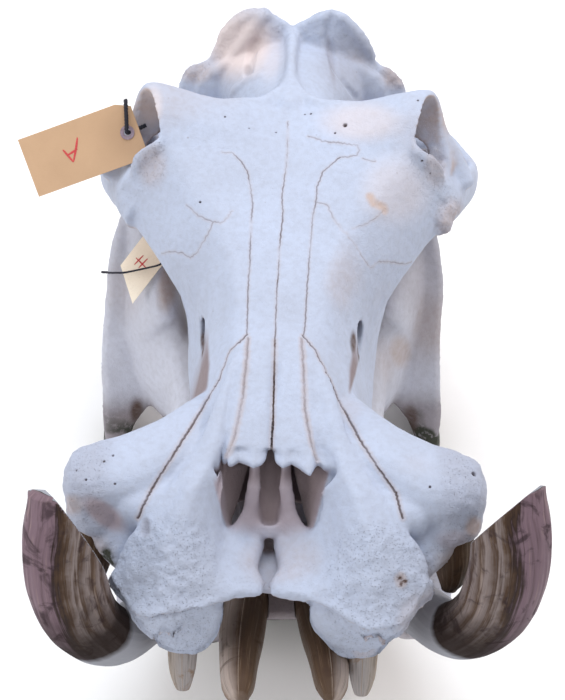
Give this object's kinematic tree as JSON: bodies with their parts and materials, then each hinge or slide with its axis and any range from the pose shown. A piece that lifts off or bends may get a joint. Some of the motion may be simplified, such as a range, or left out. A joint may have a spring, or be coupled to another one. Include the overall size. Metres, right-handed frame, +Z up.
{
  "type": "hippo skull",
  "caption": "Life-size adult hippopotamus skull with its lower jaw, curved tusks, incisors, grinding teeth and paper specimen tags, resting on its chin and jaw angles.",
  "frame": {"origin": "on the floor, below the middle of the bounding box", "axes": "+Z up from the floor; +Y runs from the front of the snout to the back of the skull, the longest way; +X is across the skull, to the right as seen from the front"},
  "size_m": [0.4936, 0.734, 0.4298],
  "materials": {
    "bone": "dry, cool white bone, pitted at the snout and brow",
    "jaw_bone": "dry greyish mauve bone with stains near the floor",
    "ivory": "worn tusk with long brown and cream stripes",
    "tooth": "brown-tan tooth, dull",
    "card": "buff tag card, matt",
    "ring": "mauve-grey ring, matt",
    "string": "black cord"
  },
  "bodies": {
    "root": {"cranium": "bone", "mandible": "jaw_bone", "lower_canine_left": "ivory", "lower_canine_right": "ivory", "upper_canine_left": "tooth", "upper_canine_right": "tooth", "lower_incisor_inner_left": "tooth", "lower_incisor_inner_right": "tooth", "lower_incisor_outer_left": "tooth", "lower_incisor_outer_right": "tooth", "upper_incisor_left": "tooth", "upper_incisor_right": "tooth", "specimen_tag": "card", "tag_ring": "ring", "tag_cord": "string", "small_tag": "card", "small_tag_string": "string"}
  },
  "joints": []
}
